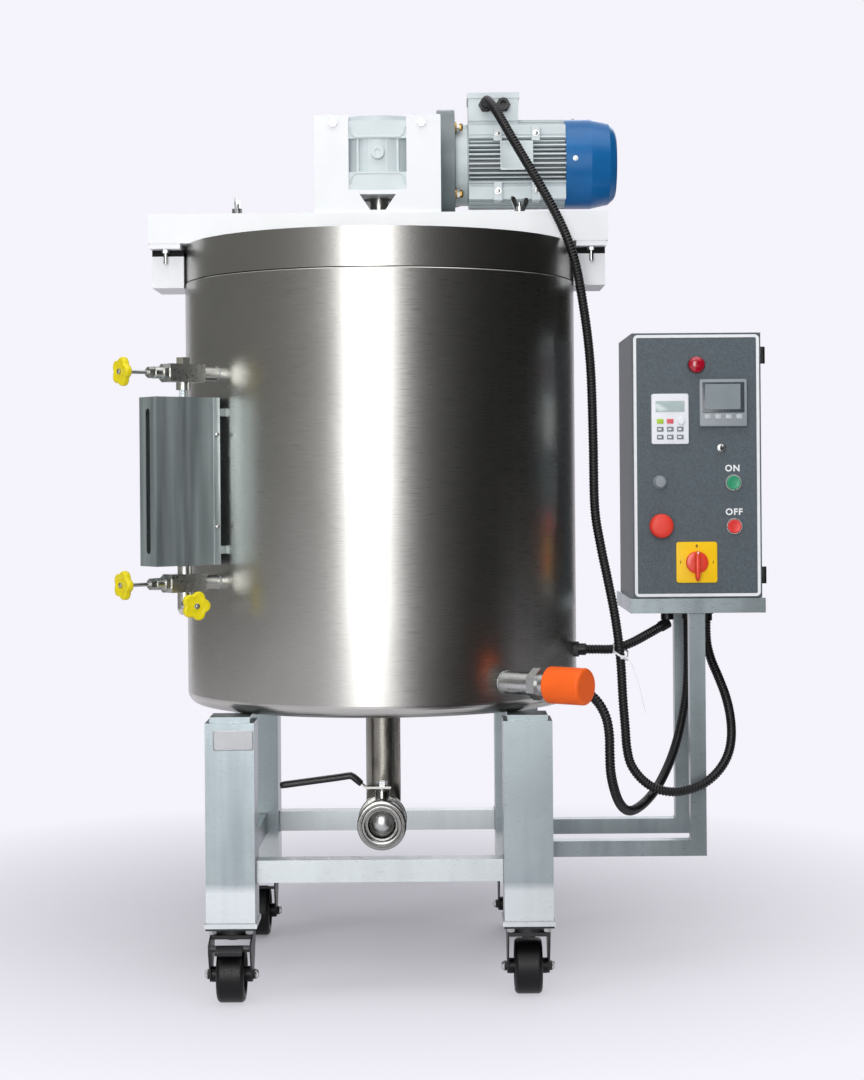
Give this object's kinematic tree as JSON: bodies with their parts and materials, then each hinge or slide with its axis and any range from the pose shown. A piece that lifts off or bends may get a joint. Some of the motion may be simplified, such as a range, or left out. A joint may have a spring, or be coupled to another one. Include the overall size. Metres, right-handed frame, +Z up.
{
  "type": "chocolate melting tank",
  "caption": "Jacketed stainless tank on a caster stand with a worm-geared agitator, level gauge, heater, front ball valve and a side control box.",
  "frame": {"origin": "point on the floor under the tank's axis", "axes": "+Z up, -Y towards the outlet valve and the panel, +X towards the control box"},
  "size_m": [1.2081, 0.7915, 1.692],
  "materials": {
    "stainless": "brushed",
    "frame_steel": "satin",
    "bare_steel": "machined",
    "white_paint": "satin",
    "grey_paint": "satin",
    "blue_paint": "gloss",
    "box_paint": "hammertone",
    "bronze": "machined",
    "black_rubber": "matte",
    "black_plastic": "matte",
    "black_paint": "satin",
    "wheel_nylon": "satin",
    "white_plastic": "matte",
    "grey_plastic": "matte",
    "yellow_plastic": "gloss",
    "orange_plastic": "gloss",
    "red_plastic": "gloss",
    "green_plastic": "gloss",
    "gauge_glass": "clear"
  },
  "bodies": {
    "tank": {"base_frame": "frame_steel", "caster_plates": "black_paint", "fasteners": "bare_steel", "panel_stand": "frame_steel", "control_box": "box_paint", "outer_shell": "stainless", "inner_vessel": "stainless", "rim_band": "stainless", "bridge_girder": "white_paint", "bridge_pads": "black_rubber", "bridge_blocks": "white_paint", "gearbox_bracket": "white_paint", "gearbox_housing": "grey_paint", "bearings": "bare_steel", "motor_frame": "grey_paint", "fan_cover": "blue_paint", "cable_glands": "black_plastic", "outlet_pipe": "stainless", "valve_body": "stainless", "heater_boss": "bare_steel", "heater_cap": "orange_plastic", "gauge_valves": "bare_steel", "sight_glass": "gauge_glass", "gauge_guard": "stainless", "motor_conduit": "black_plastic", "heater_conduit": "black_plastic", "sensor_conduit": "black_plastic"},
    "mixer": {"agitator": "stainless", "worm_wheel": "bronze", "scraper_blades": "white_plastic"},
    "rotor": {"rotor_shaft": "bare_steel"},
    "lid": {"front_lid": "stainless"},
    "valve": {"valve_ball": "bare_steel", "valve_lever": "stainless", "lever_grip": "black_plastic"},
    "upper_handwheel": {"handwheel_upper": "yellow_plastic"},
    "lower_handwheel": {"handwheel_lower": "yellow_plastic"},
    "drain_handwheel": {"handwheel_drain": "yellow_plastic"},
    "door": {"panel_door": "box_paint", "pilot_lamp": "red_plastic", "keypad": "white_plastic", "temperature_controller": "grey_plastic", "button_bezels": "bare_steel", "main_switch_plate": "yellow_plastic"},
    "toggle": {"toggle_lever": "bare_steel"},
    "speed": {"speed_knob": "grey_plastic"},
    "on": {"on_button": "green_plastic"},
    "off": {"off_button": "red_plastic"},
    "estop": {"estop_button": "red_plastic"},
    "main_switch": {"main_switch_knob": "red_plastic"},
    "swivel_fl": {"caster_fork_fl": "black_paint"},
    "wheel_fl": {"caster_wheel_fl": "wheel_nylon"},
    "pedal_fl": {"brake_pedal_fl": "black_paint"},
    "swivel_fr": {"caster_fork_fr": "black_paint"},
    "wheel_fr": {"caster_wheel_fr": "wheel_nylon"},
    "pedal_fr": {"brake_pedal_fr": "black_paint"},
    "swivel_rl": {"caster_fork_rl": "black_paint"},
    "wheel_rl": {"caster_wheel_rl": "wheel_nylon"},
    "swivel_rr": {"caster_fork_rr": "black_paint"},
    "wheel_rr": {"caster_wheel_rr": "wheel_nylon"}
  },
  "joints": [
    {"name": "agitator_spin", "type": "hinge", "parent": "tank", "child": "mixer", "pos_m": [0, 0, 0.6], "axis": [0, 0, 1], "continuous": true},
    {"name": "motor_spin", "type": "hinge", "parent": "tank", "child": "rotor", "pos_m": [0, 0.09, 1.557], "axis": [1, 0, 0], "continuous": true},
    {"name": "lid_hinge", "type": "hinge", "parent": "tank", "child": "lid", "pos_m": [0, -0.108, 1.389], "axis": [-1, 0, 0], "range_deg": [0, 80]},
    {"name": "valve_turn", "type": "hinge", "parent": "tank", "child": "valve", "pos_m": [0.005, -0.308, 0.32], "axis": [0, 0, 1], "range_deg": [0, 90]},
    {"name": "upper_valve_turn", "type": "hinge", "parent": "tank", "child": "upper_handwheel", "pos_m": [-0.44523, -0.34785, 1.131], "axis": [-0.788, -0.6157, 0], "range_deg": [0, 720]},
    {"name": "lower_valve_turn", "type": "hinge", "parent": "tank", "child": "lower_handwheel", "pos_m": [-0.44523, -0.34785, 0.751], "axis": [-0.788, -0.6157, 0], "range_deg": [0, 720]},
    {"name": "drain_valve_turn", "type": "hinge", "parent": "tank", "child": "drain_handwheel", "pos_m": [-0.32742, -0.32271, 0.712], "axis": [0.4305, -0.9026, 0], "range_deg": [0, 720]},
    {"name": "swivel_turn_fl", "type": "hinge", "parent": "tank", "child": "swivel_fl", "pos_m": [-0.267, -0.287, 0.12], "axis": [0, 0, 1], "continuous": true},
    {"name": "wheel_spin_fl", "type": "hinge", "parent": "swivel_fl", "child": "wheel_fl", "pos_m": [-0.267, -0.312, 0.05], "axis": [1, 0, 0], "continuous": true},
    {"name": "brake_fl", "type": "hinge", "parent": "swivel_fl", "child": "pedal_fl", "pos_m": [-0.267, -0.349, 0.103], "axis": [1, 0, 0], "range_deg": [0, 10]},
    {"name": "swivel_turn_fr", "type": "hinge", "parent": "tank", "child": "swivel_fr", "pos_m": [0.267, -0.287, 0.12], "axis": [0, 0, 1], "continuous": true},
    {"name": "wheel_spin_fr", "type": "hinge", "parent": "swivel_fr", "child": "wheel_fr", "pos_m": [0.267, -0.262, 0.05], "axis": [1, 0, 0], "continuous": true},
    {"name": "brake_fr", "type": "hinge", "parent": "swivel_fr", "child": "pedal_fr", "pos_m": [0.267, -0.225, 0.103], "axis": [-1, 0, 0], "range_deg": [0, 10]},
    {"name": "swivel_turn_rl", "type": "hinge", "parent": "tank", "child": "swivel_rl", "pos_m": [-0.267, 0.287, 0.12], "axis": [0, 0, 1], "continuous": true},
    {"name": "wheel_spin_rl", "type": "hinge", "parent": "swivel_rl", "child": "wheel_rl", "pos_m": [-0.267, 0.262, 0.05], "axis": [1, 0, 0], "continuous": true},
    {"name": "swivel_turn_rr", "type": "hinge", "parent": "tank", "child": "swivel_rr", "pos_m": [0.267, 0.287, 0.12], "axis": [0, 0, 1], "continuous": true},
    {"name": "wheel_spin_rr", "type": "hinge", "parent": "swivel_rr", "child": "wheel_rr", "pos_m": [0.267, 0.312, 0.05], "axis": [1, 0, 0], "continuous": true},
    {"name": "door_hinge", "type": "hinge", "parent": "tank", "child": "door", "pos_m": [0.7315, -0.062, 0.9575], "axis": [0, 0, 1], "range_deg": [0, 110]},
    {"name": "toggle_tilt", "type": "hinge", "parent": "door", "child": "toggle", "pos_m": [0.65004, -0.082, 0.99048], "axis": [1, 0, 0], "range_deg": [0, 24]},
    {"name": "speed_turn", "type": "hinge", "parent": "door", "child": "speed", "pos_m": [0.53195, -0.08, 0.92649], "axis": [0, 1, 0], "range_deg": [0, 270]},
    {"name": "on_press", "type": "slide", "parent": "door", "child": "on", "axis": [0, 1, 0], "range_m": [0, 0.004], "stiffness_N_per_m": 300},
    {"name": "off_press", "type": "slide", "parent": "door", "child": "off", "axis": [0, 1, 0], "range_m": [0, 0.004], "stiffness_N_per_m": 300},
    {"name": "estop_press", "type": "slide", "parent": "door", "child": "estop", "axis": [0, 1, 0], "range_m": [0, 0.005]},
    {"name": "main_switch_turn", "type": "hinge", "parent": "door", "child": "main_switch", "pos_m": [0.60104, -0.084, 0.77348], "axis": [0, 1, 0], "range_deg": [0, 90]}
  ],
  "couplings": [
    {"joint": "motor_spin", "follows": "agitator_spin", "ratio": 30}
  ]
}
